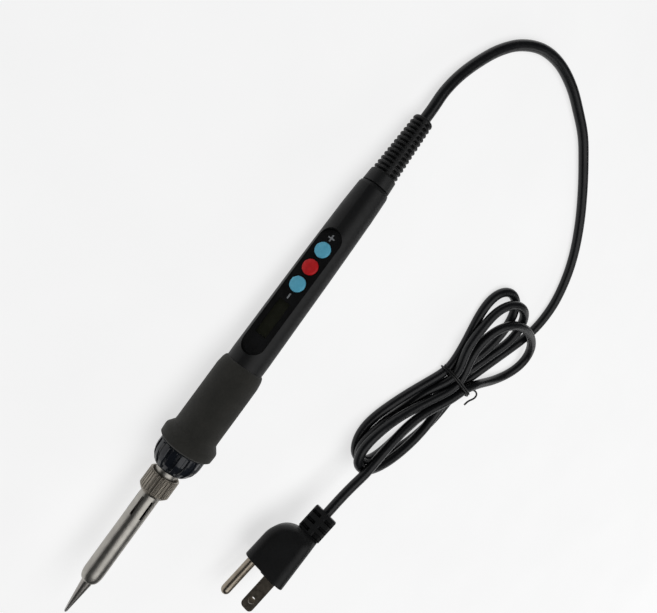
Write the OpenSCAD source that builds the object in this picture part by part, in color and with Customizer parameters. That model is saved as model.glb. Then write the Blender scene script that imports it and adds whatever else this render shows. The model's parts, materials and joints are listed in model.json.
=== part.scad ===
// Temperature-controlled soldering iron, laid on a flat surface with its mains lead
// partly gathered into a tied hank.
// The iron is drawn in a standing frame: Z runs from the point of the tip towards the
// cord and X points straight out of the control panel. A "station" is a distance along
// that Z. lay_down() then lays the iron on the surface with its tip towards +X.

/* [Overall] */
// Length from the point of the tip to the end of the strain relief
iron_length = 237; // [236.5:0.5:240]
// Turn of the control panel from straight up towards the near side
control_roll = 58; // [0:1:60]

/* [Hot end] */
// Length of the tip that stands out of its tube
tip_reach = 15; // [13:0.5:17]
// Outer diameter of the steel tube that holds the tip
tube_d = 8.5; // [8.3:0.05:8.6]
// Wall of the steel tube
tube_wall = 0.5; // [0.4:0.05:0.6]
// Vent slots round the steel tube
vent_count = 6; // [4:1:6]
// Width of a vent slot
vent_w = 1; // [0.6:0.1:1.1]
// Diameter of the knurled nut over its ridges
nut_d = 13; // [12.4:0.1:14]
// Ridges round the nut
nut_ridges = 32; // [24:1:36]
// Diameter of the ceramic heater
heater_d = 3.9; // [3.5:0.1:4]
// Widest diameter of the ribbed front cap
cap_d = 20; // [19:0.5:21]
// Flutes between the ribs of the front cap
cap_flutes = 16; // [12:1:20]

/* [Handle] */
// Diameter of the handle just behind the grip
handle_d = 16.2; // [16:0.1:16.4]
// Diameter of the handle where it rests near its tail
tail_d = 14; // [13.8:0.1:14.4]
// Diameter of the foam grip
grip_d = 19.2; // [18.5:0.1:20]
// Diameter of the flange at the front of the grip
flange_d = 23.4; // [22.5:0.1:25]

/* [Controls] */
// Width of the control panel
panel_w = 10; // [9.6:0.1:10.2]
// Diameter of a button
button_d = 6.5; // [6:0.1:6.9]
// Distance between neighbouring buttons
button_pitch = 8.15; // [8.1:0.05:8.4]
// How far a button stands out of the panel
button_rise = 1.1; // [0.8:0.1:1.6]
// Width of the display window
window_w = 5.8; // [5:0.1:6]
// Length of the display window
window_len = 16.5; // [14:0.5:17]

/* [Cord] */
// Diameter of the mains cord
cord_d = 4.8; // [4.4:0.1:5]
// Diameter of the strain relief's base ring
relief_d = 12.3; // [11.5:0.1:12.8]
// Ribs along the strain relief
relief_ribs = 13; // [11:1:13]

/* [Plug] */
// Yaw of the plug as it lies
plug_yaw = -12; // [-15:1:0]
// Turn of the plug about its length as it lies
plug_roll = 232; // [225:1:240]
// How far the plug's pins point up
plug_pitch = 3.5; // [0:0.5:5]
// Height of the plug body, from its blade side to its earth side
plug_h = 22.8; // [22:0.1:24]
// Width of the plug body across the two blades
plug_w = 22; // [22:0.5:25]
// Length of the plug body without its neck
plug_len = 25.5; // [24:0.5:26]

/* [Hidden] */

// Colours
steel = [0.80, 0.80, 0.78];
nickel = [0.66, 0.63, 0.58];
black = [0.11, 0.12, 0.13];
gloss_black = [0.05, 0.05, 0.06];
foam = [0.15, 0.15, 0.14];
ceramic = [0.92, 0.90, 0.84];
cap_yellow = [0.80, 0.66, 0.20];
board_green = [0.10, 0.34, 0.20];
key_blue = [0.33, 0.60, 0.72];
key_red = [0.62, 0.13, 0.14];
mark_grey = [0.62, 0.64, 0.66];
lcd_olive = [0.16, 0.17, 0.12];

// Roundness
fine = 96;
medium = 48;
eps = 0.1;                        // overlap of a cutter past the face it cuts

// Stations along the iron, from the point of the tip
tube_front = tip_reach;
dome_len = 4;                     // length of the tube's rounded front
vent_start = 46;
vent_end = 54.2;
tube_bead = 55.6;                 // where the tube is swaged a little wider
nut_front = 56.2;
nut_back = 65;
nut_lip = 1.6;                    // length of the nut's narrow front lip
collar_front = 59.2;
cap_front = 67.6;
bell_back = 77.1;                 // end of the cap's ribbed bell
collar_flange = 74;
collar_flange_t = 1.4;
earth_ring_t = 0.5;
heater_base_back = 79.6;
handle_front = 77.8;
grip_front = 77.5;
flange_peak = 81.3;               // station where the flange is widest
spigot_end = 92;                  // end of the front cap's threaded spigot
grip_back = 116.8;
panel_front = 121.7;
panel_back = 180.2;
window_mid = 138.4;
power_station = 162.7;
board_front = 98;
board_back = 187.5;
sheath_end = 192;                 // where the cord's sheath is stripped
ferrule_at = 193.6;
tail_rest = 196;                  // station where the handle's tail rests
tail_wall = 199.6;                // inner face of the handle's end wall
handle_back = 203.7;

// Radii and clearances
tube_r = tube_d / 2;
bead_r = tube_r + 0.1;
collar_r = 4.8;
thread_gap = 0.15;                // radial gap of the nut over the collar
collar_bore_r = 3.3;
spigot_r = 6.9;
spigot_bore_r = 5.8;
cap_thread_gap = 0.1;
handle_r = handle_d / 2;
tail_r = tail_d / 2;
sleeve_r = handle_r - 0.05;       // handle under the grip
flange_r = flange_d / 2;
relief_neck_r = 4.7;
cord_r = cord_d / 2;

// How the iron lies: the grip's flange and the handle's tail touch the surface
lie_tilt = atan((flange_r - tail_r) / (tail_rest - flange_peak));
tip_height = flange_peak * sin(lie_tilt) + flange_r * cos(lie_tilt);
relief_end_r = 3.8;
tip_x = (iron_length * cos(lie_tilt) + relief_end_r * sin(lie_tilt)) / 2;

// Control panel frame
panel_mid = (panel_front + panel_back) / 2;
panel_height = 5.75;              // panel face above the axis at its middle
panel_slope = 0.95;               // the panel follows the handle's taper
panel_t = 0.35;
panel_wall = 0.95;                // handle wall under the panel
panel_under = -panel_t - panel_wall;
button_gap = 0.15;                // radial gap of a button in its hole
button_rest_gap = 0.1;            // button flange under the wall
button_flange_t = 0.9;
board_top = -5.8;
board_t = 1;
board_w = 10.6;

// Places on the surface
exit_point = laid([0, 0, iron_length]);
lead_route = [
    exit_point, [-124, 0, 5.1], [-132, 0, 4.4], [-142, 2, 3.4], [-153, 6, 2.7], [-163, 11, 2.4],
    [-172, 18, 2.4], [-180, 29, 2.4], [-184, 42, 2.4], [-184, 57, 2.4], [-181, 71, 2.4],
    [-177, 84, 2.4], [-170, 97, 2.4], [-161, 111, 2.4], [-151, 124, 2.4], [-139, 136, 2.4],
    [-127, 144, 2.4], [-114, 149, 2.4], [-103, 150, 2.4], [-95, 149, 2.4], [-89, 147, 2.4]
];
far_lobe = [-75, 130, 27];        // x, y and radius of the hank's round parts
waist = [-46, 119.3, 10];
belly = [-19, 107, 17];
near_lobe = [1, 102, 18];
hank_h = 14;
waist_lift = 1;
tie_turn = -10.5;                 // turn of the hank's line from the X axis
tie_band = 1.6;
tie_t = 0.8;

// Plug, drawn with X towards its pins, Y towards its earth side, origin on the blade line
plug_at = [78.5, 80.7, 19.2];
blade_edge = 6.7;                 // from the blade line to the body's blade side
blade_w = 6.35;
blade_t = 1.5;
blade_len = 16.4;
blade_gap = 12.7;
blade_hole_r = 1.6;
blade_hole_inset = 4.5;
pin_r = 2.38;
pin_len = 20.4;
pin_root_r = 2;
pin_offset = 11.9;
pin_root = 9;                     // length of the blades and pin held in the plug
neck_w = 12.4;
neck_t = 10;
neck_end_x = -37.8;
neck_offset = 1.2;
neck_slots = 3;
neck_end = plugged([neck_end_x, neck_offset, 0]);
tail_route = [
    [0, 97, 12.5], [7, 94.6, 14.8], [15, 92.8, 15.4], [23, 91.3, 15.5], [31.5, 89.8, 15.4],
    neck_end
];

// Place of a point of the standing frame once the iron is laid down
function laid(p) =
    let (
        rolled = [
            p[0] * cos(control_roll) + p[1] * sin(control_roll),
            p[1] * cos(control_roll) - p[0] * sin(control_roll),
            p[2]
        ]
    )
    [
        tip_x - rolled[2] * cos(lie_tilt) - rolled[0] * sin(lie_tilt),
        rolled[1],
        tip_height - rolled[2] * sin(lie_tilt) + rolled[0] * cos(lie_tilt)
    ];

// Place of a point of the plug's frame once the plug lies down
function plugged(p) =
    let (
        y = p[1] * cos(plug_roll) - p[2] * sin(plug_roll),
        up = p[1] * sin(plug_roll) + p[2] * cos(plug_roll),
        x = p[0] * cos(plug_pitch) - up * sin(plug_pitch),
        z = p[0] * sin(plug_pitch) + up * cos(plug_pitch)
    )
    plug_at + [
        x * cos(plug_yaw) - y * sin(plug_yaw),
        x * sin(plug_yaw) + y * cos(plug_yaw),
        z
    ];

// Points [radius, station] along an elliptical arc from angle a0 to a1
function arc_points(r_mid, s_mid, r_size, s_size, a0, a1, steps) = [
    for (i = [0 : steps])
        let (a = a0 + (a1 - a0) * i / steps)
        [r_mid + r_size * cos(a), s_mid + s_size * sin(a)]
];

function unit(v) = v / norm(v);

// Direction of a route at its point i
function heading(route, i) =
    unit(route[min(i + 1, len(route) - 1)] - route[max(i - 1, 0)]);

// Ring of a tube's points round a route's point, square to a given direction
function ring(centre, along, r, sides) =
    let (side = unit(cross(along, [0, 0, 1])), up = cross(side, along))
    [
        for (k = [0 : sides - 1])
            centre + r * (cos(360 * k / sides) * side + sin(360 * k / sides) * up)
    ];

module lay_down() {
    translate([tip_x, 0, tip_height])
        rotate([0, -lie_tilt, 0])
            rotate([control_roll, 0, 0])
                rotate([0, -90, 0])
                    children();
}

// Panel frame: Z out of the panel, X towards the tip, origin at the panel's middle
module on_panel() {
    lay_down()
        translate([panel_height, 0, panel_mid])
            rotate([0, 90 - panel_slope, 0])
                children();
}

module in_plug() {
    translate(plug_at)
        rotate([0, -plug_pitch, plug_yaw])
            rotate([plug_roll, 0, 0])
                children();
}

module turned(points) {
    rotate_extrude($fn = fine) polygon(points);
}

module ring_of(r_out, r_in, from, to) {
    turned([[r_in, from], [r_out, from], [r_out, to], [r_in, to]]);
}

module slot_outline(length, width) {
    square([length - width, width], center = true);
    for (end = [-1, 1])
        translate([end * (length - width) / 2, 0]) circle(d = width, $fn = fine);
}

module box(size, at) {
    translate(at) translate([-size[0] / 2, -size[1] / 2, 0]) cube(size);
}

module tube_along(route, r, sides, first_heading, last_heading) {
    last = len(route) - 1;
    points = [
        for (i = [0 : last])
            let (along = i == 0 ? first_heading : i == last ? last_heading : heading(route, i))
            for (p = ring(route[i], along, r, sides)) p
    ];
    sides_of = [
        for (i = [0 : last - 1], k = [0 : sides - 1])
            let (n = (k + 1) % sides)
            [i * sides + k, i * sides + n, (i + 1) * sides + n, (i + 1) * sides + k]
    ];
    caps = [
        [for (k = [sides - 1 : -1 : 0]) k],
        [for (k = [0 : sides - 1]) last * sides + k]
    ];
    polyhedron(points, concat(sides_of, caps), convexity = 6);
}

module straight_wire(from, to, r) {
    step = to - from;
    translate(from)
        rotate([0, acos(step[2] / norm(step)), atan2(step[1], step[0])])
            cylinder(h = norm(step), r = r, $fn = 24);
}

// ---- Hot end ----

module soldering_tip() {
    shank_r = 3.2;
    shank_back = 41;
    bore_r = heater_d / 2 + 0.15;
    bore_front = 20.8;
    color(steel) lay_down() turned([
        [0, 0], [0.4, 0.1], [0.65, 0.6], [2.4, tip_reach], [2.5, tip_reach + 2],
        [2.5, tip_reach + 3], [shank_r, tip_reach + 4.3], [shank_r, shank_back],
        [bore_r, shank_back], [bore_r, bore_front], [0, bore_front - 1.2]
    ]);
}

module tip_tube() {
    mouth_r = 2.75;
    dome = tube_r - mouth_r;
    flange_front = nut_front + nut_lip + 0.1;
    flange_back = collar_front - 0.1;
    outside = arc_points(mouth_r, tube_front + dome_len, dome, dome_len, -90, 0, 8);
    inside = arc_points(mouth_r - 0.1, tube_front + dome_len + 0.3, dome + 0.1 - tube_wall,
        dome_len, 0, -90, 8);
    color(steel) lay_down() difference() {
        turned(concat(
            outside,
            [[tube_r, tube_bead], [bead_r, flange_front], [collar_r, flange_front],
             [collar_r, flange_back], [tube_r - tube_wall, flange_back]],
            inside
        ));
        for (i = [0 : vent_count - 1])
            rotate([0, 0, i * 360 / vent_count - 2.5])
                translate([0, -vent_w / 2, vent_start])
                    cube([tube_r + 1, vent_w, vent_end - vent_start]);
    }
}

module tube_nut() {
    ridge_r = 0.4;
    rim_r = 5.75;
    rim_deep = 1.2;
    lip_end = nut_front + nut_lip;
    color(nickel) lay_down() difference() {
        turned([
            [bead_r + 0.15, nut_front], [nut_d / 2 - 1.2, nut_front], [nut_d / 2, nut_front + 1.3],
            [nut_d / 2, nut_back - 0.3], [nut_d / 2 - 0.3, nut_back], [rim_r, nut_back],
            [rim_r, nut_back - rim_deep], [collar_r + thread_gap, nut_back - rim_deep],
            [collar_r + thread_gap, lip_end],
            [bead_r + 0.15, lip_end]
        ]);
        for (i = [0 : nut_ridges - 1])
            rotate([0, 0, i * 360 / nut_ridges])
                translate([nut_d / 2 + ridge_r / 3, 0, nut_front - eps])
                    cylinder(h = nut_back - nut_front + 2 * eps, r = ridge_r, $fn = 16);
    }
}

module threaded_collar() {
    flange_r = spigot_bore_r - 0.1;
    color(steel) lay_down() turned([
        [collar_bore_r, collar_front], [collar_r, collar_front], [collar_r, collar_flange],
        [flange_r, collar_flange], [flange_r, collar_flange + collar_flange_t],
        [collar_bore_r, collar_flange + collar_flange_t]
    ]);
}

module heater_rod() {
    color(ceramic) lay_down()
        translate([0, 0, 21.5]) cylinder(h = 57.5, d = heater_d, $fn = medium);
}

module heater_base() {
    front = collar_flange + collar_flange_t + earth_ring_t;
    color(ceramic) lay_down() ring_of(4.9, heater_d / 2 + 0.03, front, heater_base_back);
}

module earth_ring() {
    front = collar_flange + collar_flange_t;
    tab_r = 5.25;
    color(steel) lay_down() {
        ring_of(spigot_bore_r - 0.15, collar_bore_r, front, front + earth_ring_t);
        rotate([0, 0, 127]) translate([tab_r, -1, front]) cube([0.4, 2, 9]);
    }
}

module front_cap() {
    cap_r = cap_d / 2;
    flute_deep = 0.55;
    color(gloss_black) lay_down() difference() {
        turned([
            [collar_r + 0.05, cap_front], [6.8, cap_front], [7.5, cap_front + 0.6], [9.1, 70.4],
            [9.8, 72.5], [cap_r, 74.2], [cap_r, bell_back], [spigot_r, bell_back + 0.2],
            [spigot_r, spigot_end], [spigot_bore_r, spigot_end], [spigot_bore_r, collar_flange],
            [collar_r + 0.05, collar_flange]
        ]);
        for (i = [0 : cap_flutes - 1])
            rotate([0, 0, i * 360 / cap_flutes]) {
                translate([7.8 - flute_deep, -0.7, 68.6]) rotate([0, 30, 0]) cube([3, 1.4, 4.8]);
                translate([cap_r - flute_deep, -0.7, 72.4]) cube([2, 1.4, 3.9]);
            }
    }
}

// ---- Grip and handle ----

module foam_grip() {
    body_r = grip_d / 2;
    color(foam) lay_down() turned([
        [handle_r, grip_front], [flange_r - 1.1, grip_front], [flange_r - 0.2, grip_front + 0.8],
        [flange_r, flange_peak], [flange_r - 0.2, 82.1], [flange_r - 1, 83.3],
        [body_r + 0.1, 84.6], [body_r, 86], [body_r, 112], [9.2, 115], [8.7, 116.4],
        [handle_r + 0.1, grip_back], [handle_r, grip_back]
    ]);
}

// Outline of the handle's outside, [radius, station]
handle_outline = [
    [sleeve_r, handle_front], [sleeve_r, grip_back], [handle_r, 121], [handle_r - 0.2, 140],
    [handle_r - 0.4, 161], [handle_r - 0.7, 180], [tail_r + 0.2, 191], [tail_r, tail_rest],
    [tail_r - 0.28, 202.1], [tail_r - 0.6, 203.1], [tail_r - 1.3, handle_back]
];
cavity_outline = [
    [spigot_r + cap_thread_gap, handle_front - eps], [spigot_r + cap_thread_gap, 93],
    [6.75, 93.5], [6.75, 120], [6.6, 140], [6.4, 161], [6.1, 180], [5.9, 191],
    [5.5, 197], [5.4, tail_wall]
];

module button_places() {
    for (i = [-1, 0, 1])
        translate([panel_mid - power_station - i * button_pitch, 0, 0]) children();
}

module handle_shell() {
    cut_up = 4;
    color(black) difference() {
        lay_down() turned(concat([[0, handle_front]], handle_outline, [[0, handle_back]]));
        difference() {
            lay_down()
                turned(concat([[0, handle_front - eps]], cavity_outline, [[0, tail_wall]]));
            on_panel() box([panel_back - panel_front + 5, 16, 8], [0, 0, panel_under]);
        }
        lay_down() translate([0, 0, tail_wall - eps])
            cylinder(h = 6, r = relief_neck_r + 0.1, $fn = medium);
        on_panel() translate([0, 0, -panel_t]) linear_extrude(cut_up)
            slot_outline(panel_back - panel_front + 0.2, panel_w + 0.2);
        on_panel() button_places() translate([0, 0, panel_under - eps])
            cylinder(h = cut_up, r = button_d / 2 + button_gap, $fn = medium);
        on_panel() box([window_len, window_w, cut_up],
            [panel_mid - window_mid, 0, panel_under - eps]);
    }
}

// ---- Controls ----

module control_panel() {
    color(gloss_black) on_panel() translate([0, 0, -panel_t]) linear_extrude(panel_t)
        difference() {
            slot_outline(panel_back - panel_front, panel_w);
            button_places() circle(r = button_d / 2 + button_gap, $fn = medium);
            translate([panel_mid - window_mid, 0])
                square([window_len - 0.6, window_w - 0.4], center = true);
        }
}

module display_window() {
    color([0.3, 0.32, 0.3, 0.4]) on_panel()
        box([window_len - 0.2, window_w - 0.2, panel_wall - 0.05],
            [panel_mid - window_mid, 0, panel_under]);
}

module display_glass() {
    color(lcd_olive) on_panel() box([22, 8.2, 1.4], [panel_mid - window_mid, 0, -3.1]);
}

module display_holder() {
    h = -3.1 - board_top;
    color(gloss_black) on_panel() translate([panel_mid - window_mid, 0, 0]) difference() {
        box([21, 8, h], [0, 0, board_top]);
        box([17, 5, h + 2 * eps], [0, 0, board_top - eps]);
    }
}

module button(place, tint) {
    r = button_d / 2;
    flange_top = panel_under - button_rest_gap;
    flange_low = flange_top - button_flange_t;
    crown = arc_points(r - 0.5, button_rise - 0.5, 0.5, 0.5, 0, 90, 4);
    color(tint) on_panel()
        translate([panel_mid - power_station - place * button_pitch, 0, 0])
            turned(concat(
                [[0, flange_low - 0.3], [1.5, flange_low - 0.3], [1.5, flange_low],
                 [r + 0.45, flange_low], [r + 0.45, flange_top], [r, flange_top]],
                crown,
                [[0, button_rise]]
            ));
}

module button_plus() { button(1, key_blue); }
module button_power() { button(0, key_red); }
module button_minus() { button(-1, key_blue); }

module key_marks() {
    mark_t = 0.08;
    mark_w = 0.6;
    mark_len = 2.9;
    color(mark_grey) on_panel() linear_extrude(mark_t) {
        translate([panel_mid - 176.5, 0]) {
            square([mark_len, mark_w], center = true);
            square([mark_w, mark_len], center = true);
        }
        translate([panel_mid - 148.9, 0]) square([mark_len - 0.6, mark_w], center = true);
    }
}

// ---- Electronics ----

module circuit_board() {
    color(board_green) on_panel() box([board_back - board_front, board_w, board_t],
        [panel_mid - (board_front + board_back) / 2, 0, board_top - board_t]);
}

module tact_switches() {
    body_h = 2.35;
    color(gloss_black) on_panel() button_places() {
        box([6, 6, body_h], [0, 0, board_top]);
        translate([0, 0, board_top + body_h]) cylinder(h = 0.3, r = 1.7, $fn = medium);
    }
}

module controller_chip() {
    color(gloss_black) on_panel()
        box([5, 4, 1.5], [panel_mid - 152, 0, board_top - board_t - 1.5]);
}

module triac() {
    color(gloss_black) on_panel() box([9, 6.6, 3.2], [panel_mid - 112, 0, board_top]);
}

module capacitor() {
    color(cap_yellow) on_panel()
        box([11, 5.2, 4], [panel_mid - 110, 0, board_top - board_t - 4]);
}

module heater_leads() {
    color(ceramic) lay_down() for (y = [-3, -1.2, 1.2, 3])
        straight_wire([1.35, y, heater_base_back + 0.1], [1.35, y, 103], 0.45);
}

module live_wire() {
    color(black) lay_down() straight_wire([0.25, -1.2, 183], [0.25, -1.2, sheath_end], 0.75);
}

module neutral_wire() {
    color(ceramic) lay_down() straight_wire([0.25, 1.2, 183], [0.25, 1.2, sheath_end], 0.75);
}

module earth_wire() {
    bends = [[-2.8, 3.5, 80], [-2.8, 3.5, 184], [-2.8, 3.2, 186.5], [-1.8, 0.7, 190.6],
        [-1.6, 0.3, sheath_end]];
    route = [for (p = bends) laid(p)];
    along = unit(laid([0, 0, 1]) - laid([0, 0, 0]));
    color("seagreen") tube_along(route, 0.7, 8, along, along);
}

// ---- Cord ----

module cord_in_handle() {
    color(black) lay_down() translate([0, 0, sheath_end])
        cylinder(h = iron_length - sheath_end, r = cord_r, $fn = medium);
}

module cord_ferrule() {
    color(steel) lay_down() ring_of(cord_r + 0.8, cord_r + 0.02, ferrule_at, ferrule_at + 3);
}

module strain_relief() {
    base_end = 209;
    first_rib = 210.2;
    rib_t = 1.3;
    rib_pitch = (iron_length - 1.6 - first_rib) / relief_ribs;
    taper = 1.4 / (iron_length - first_rib);
    rib_deep = 1;
    ribs = [
        for (i = [0 : relief_ribs - 1])
            let (
                s = first_rib + i * rib_pitch,
                r0 = 5.6 - taper * (s - first_rib),
                r1 = r0 - taper * rib_t
            )
            for (p = [[r0 - rib_deep, s], [r0, s], [r1, s + rib_t], [r1 - rib_deep, s + rib_t]])
                p
    ];
    color(black) lay_down() turned(concat(
        [[cord_r + 0.05, 197.4], [5.2, 197.4], [5.2, 199.4], [relief_neck_r, 199.4],
         [relief_neck_r, handle_back + 0.1], [relief_d / 2, handle_back + 0.1],
         [relief_d / 2 - 0.1, handle_back + 1], [5.7, base_end], [4.7, base_end + 0.3]],
        ribs,
        [[relief_end_r - 0.4, iron_length - 1.2], [relief_end_r, iron_length - 1],
         [relief_end_r, iron_length], [cord_r + 0.05, iron_length]]
    ));
}

module cord_lead() {
    along = unit(laid([0, 0, iron_length]) - laid([0, 0, 0]));
    color(black) tube_along(lead_route, cord_r, 12, along, unit([6, -2, 0]));
}

module lobe(circles) {
    hull() for (c = circles) translate([c[0], c[1]]) circle(r = c[2], $fn = 32);
}

module cord_hank() {
    color(black) {
        linear_extrude(hank_h) difference() {
            union() {
                lobe([far_lobe, waist]);
                lobe([belly, near_lobe]);
                lobe([waist, belly]);
            }
            translate([waist[0], waist[1]]) rotate(tie_turn) square([8, 60], center = true);
        }
        translate([waist[0], waist[1], waist_lift]) rotate(tie_turn)
            box([8, 2 * waist[2] - 1, hank_h], [0, 0, 0]);
    }
}

module twist_tie() {
    inner = [3 * tie_band, 2 * waist[2] - 0.8, hank_h + 0.2];
    color(black) translate([waist[0], waist[1], 0]) rotate(tie_turn) {
        difference() {
            box([tie_band, inner[1] + 2 * tie_t, hank_h + waist_lift + tie_t], [0, 0, 0.1]);
            box(inner, [0, 0, waist_lift - 0.1]);
        }
        straight_wire([0, inner[1] / 2 + 0.2, 9], [4, 14, 6], tie_t / 2);
    }
}

module cord_tail() {
    along = unit(plugged([0, 0, 0]) - plugged([-10, 0, 0]));
    color(black) tube_along(tail_route, cord_r, 12, unit([8, -3, 2]), along);
}

// ---- Plug ----

module plug_side_outline() {
    shoulder_r = 13;
    shoulder_x = -12.1;
    top = plug_h - blade_edge;
    polygon(concat(
        [[0, -blade_edge], [0, top]],
        arc_points(shoulder_x, top - shoulder_r, shoulder_r, shoulder_r, 90, 162, 8),
        [[-plug_len, 6.8], [-plug_len, -blade_edge + 2.2]]
    ));
}

module plug_front_outline() {
    corner = 4.6;
    translate([plug_h / 2 - blade_edge, 0]) hull() for (y = [-1, 1], z = [-1, 1])
        translate([y * (plug_h / 2 - corner), z * (plug_w / 2 - corner)])
            circle(r = corner, $fn = 32);
}

module bridge_block(gap) {
    box([10 + gap, 19 + gap, 19 + gap], [-7, 5.2, -(19 + gap) / 2]);
}

module pin_holes(gap) {
    for (z = [-1, 1])
        box([40, blade_w + gap, blade_t + gap],
            [10, 0, z * blade_gap / 2 - (blade_t + gap) / 2]);
    translate([-pin_root, pin_offset, 0]) rotate([0, 90, 0])
        cylinder(h = 40, r = pin_root_r + gap / 2, $fn = medium);
}

module plug_body() {
    slot_w = 1.3;
    slot_pitch = 3.95;
    last_slot = 2.8;                 // from the end of the neck
    pad_t = 0.6;                     // raised part of the face round the blades
    color(black) in_plug() difference() {
        union() {
            intersection() {
                translate([0, 0, -plug_w / 2]) linear_extrude(plug_w) plug_side_outline();
                translate([-plug_len - eps, 0, 0]) rotate([90, 0, 90])
                    linear_extrude(plug_len + eps) plug_front_outline();
            }
            box([-neck_end_x - plug_len + 1, neck_w, neck_t],
                [(neck_end_x - plug_len + 1) / 2, neck_offset, -neck_t / 2]);
            box([2 * pad_t, 8.4, plug_w - 4], [0, 1.4, -plug_w / 2 + 2]);
        }
        bridge_block(0.1);
        pin_holes(0.1);
        for (i = [0 : neck_slots - 1], y = [-1, 1], z = [-1, 1])
            box([slot_w, neck_w / 2 - 1.6, 2.2],
                [neck_end_x + last_slot + i * slot_pitch,
                 neck_offset + y * (neck_w / 4 + 0.6), z * (neck_t / 2 - 0.8) - 1.1]);
    }
}

module plug_bridge() {
    color(ceramic) in_plug() difference() {
        bridge_block(0);
        pin_holes(0.02);
    }
}

module plug_blades() {
    tip_r = 2;
    half = blade_w / 2;
    color(nickel) in_plug() for (z = [-1, 1])
        translate([0, 0, z * blade_gap / 2 - blade_t / 2]) linear_extrude(blade_t) difference() {
            polygon(concat(
                [[-pin_root, half], [-pin_root, -half]],
                arc_points(blade_len - tip_r, -half + tip_r, tip_r, tip_r, -90, 0, 5),
                arc_points(blade_len - tip_r, half - tip_r, tip_r, tip_r, 0, 90, 5)
            ));
            translate([blade_len - blade_hole_inset, 0]) circle(r = blade_hole_r, $fn = medium);
        }
}

module ground_pin() {
    nose = arc_points(0, pin_len - pin_r, pin_r, pin_r, 0, 90, 8);
    color(nickel) in_plug() translate([0, pin_offset, 0]) rotate([0, 90, 0]) turned(concat(
        [[0, -pin_root], [pin_root_r, -pin_root], [pin_root_r, 0.05], [pin_r, 0.05]], nose
    ));
}

soldering_tip();
tip_tube();
tube_nut();
threaded_collar();
heater_rod();
heater_base();
earth_ring();
front_cap();
foam_grip();
handle_shell();
control_panel();
display_window();
display_glass();
display_holder();
button_plus();
button_power();
button_minus();
key_marks();
circuit_board();
tact_switches();
controller_chip();
triac();
capacitor();
heater_leads();
live_wire();
neutral_wire();
earth_wire();
cord_in_handle();
cord_ferrule();
strain_relief();
cord_lead();
cord_hank();
cord_tail();
twist_tie();
plug_body();
plug_bridge();
plug_blades();
ground_pin();
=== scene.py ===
"""Looks for the soldering iron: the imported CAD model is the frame, and this script adds the
cord, the soft and finely shaped pieces, the materials, the light and the camera.

Two drawing frames are used. IRON has its origin at the point of the tip, Z towards the cord
and X straight out of the control panel, so a "station" is a distance along that Z. PLUG has
X towards the pins, Y towards the earth side and its origin on the blade line."""

import json
import math

import bmesh
import bpy
import numpy as np
from mathutils import Matrix, Vector


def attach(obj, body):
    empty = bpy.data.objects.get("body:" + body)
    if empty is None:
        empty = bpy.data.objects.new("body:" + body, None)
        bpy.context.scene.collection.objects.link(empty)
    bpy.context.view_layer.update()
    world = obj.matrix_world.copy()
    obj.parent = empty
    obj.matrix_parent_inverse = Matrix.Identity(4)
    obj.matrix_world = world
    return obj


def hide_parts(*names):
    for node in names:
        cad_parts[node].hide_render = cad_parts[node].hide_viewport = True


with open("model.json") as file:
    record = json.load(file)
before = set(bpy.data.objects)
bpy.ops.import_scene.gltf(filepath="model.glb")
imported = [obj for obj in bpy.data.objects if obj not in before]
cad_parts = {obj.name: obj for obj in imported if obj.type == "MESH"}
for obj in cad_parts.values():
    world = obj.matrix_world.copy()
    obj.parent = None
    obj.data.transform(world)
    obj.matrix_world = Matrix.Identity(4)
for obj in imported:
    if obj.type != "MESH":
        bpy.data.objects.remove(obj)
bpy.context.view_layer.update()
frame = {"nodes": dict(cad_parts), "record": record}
record = frame["record"]
nodes = frame["nodes"]
mm = 0.001

# ---- Places taken from the record ----

joints = {joint["name"]: joint for joint in record["behaviour"]["joints"]}
mounts = {mount["name"]: mount for mount in record["mounts"]}
NUT_STATION = 60.6 * mm
tip_way = Vector(joints["tube_slide"]["axis"]).normalized()
tip_point = Vector(joints["nut_turn"]["pos_m"]) + tip_way * NUT_STATION
out_way = -Vector(joints["plus_press"]["axis"])
out_way = (out_way - tip_way * out_way.dot(tip_way)).normalized()


def frame_of(origin, x, z):
    """Matrix of a drawing frame with those X and Z directions."""
    turn = Matrix((x, z.cross(x), z)).transposed()
    return Matrix.Translation(origin) @ turn.to_4x4()


IRON = frame_of(tip_point, out_way, -tip_way)

PLUG_STATION = 8 * mm
pin_way = Vector(mounts["earth_pin"]["axis"]).normalized()
blade_line = Vector(mounts["plug_blades"]["pos_m"]) - pin_way * PLUG_STATION
earth_side = Vector(mounts["earth_pin"]["pos_m"]) - blade_line
earth_side = (earth_side - pin_way * earth_side.dot(pin_way)).normalized()
PLUG = frame_of(blade_line, pin_way, pin_way.cross(earth_side))

# ---- Camera ----

CAMERA_AT = Vector((-0.03648, -0.15175, 0.20959))
CAMERA_PITCH = math.radians(50)   # below the horizon, looking along +Y
CAMERA_ROLL = math.radians(127.6)
LENS = 35.07
SENSOR = 36


def make_camera():
    data = bpy.data.cameras.new("camera")
    data.lens = LENS
    data.sensor_width = SENSOR
    data.clip_start = 0.01
    camera = bpy.data.objects.new("camera", data)
    bpy.context.scene.collection.objects.link(camera)
    level = Matrix.Rotation(math.pi / 2 - CAMERA_PITCH, 4, "X")
    roll = Matrix.Rotation(CAMERA_ROLL, 4, "Z")
    camera.matrix_world = Matrix.Translation(CAMERA_AT) @ level @ roll
    bpy.context.scene.camera = camera


make_camera()

# ---- Cord: its route ----

CORD_D = 0.0048
cord_r = CORD_D / 2
IRON_LENGTH = 0.237
exit_point = IRON @ Vector((0, 0, IRON_LENGTH))
neck_end = PLUG @ Vector((-0.0378, 0.0012, 0))

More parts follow.
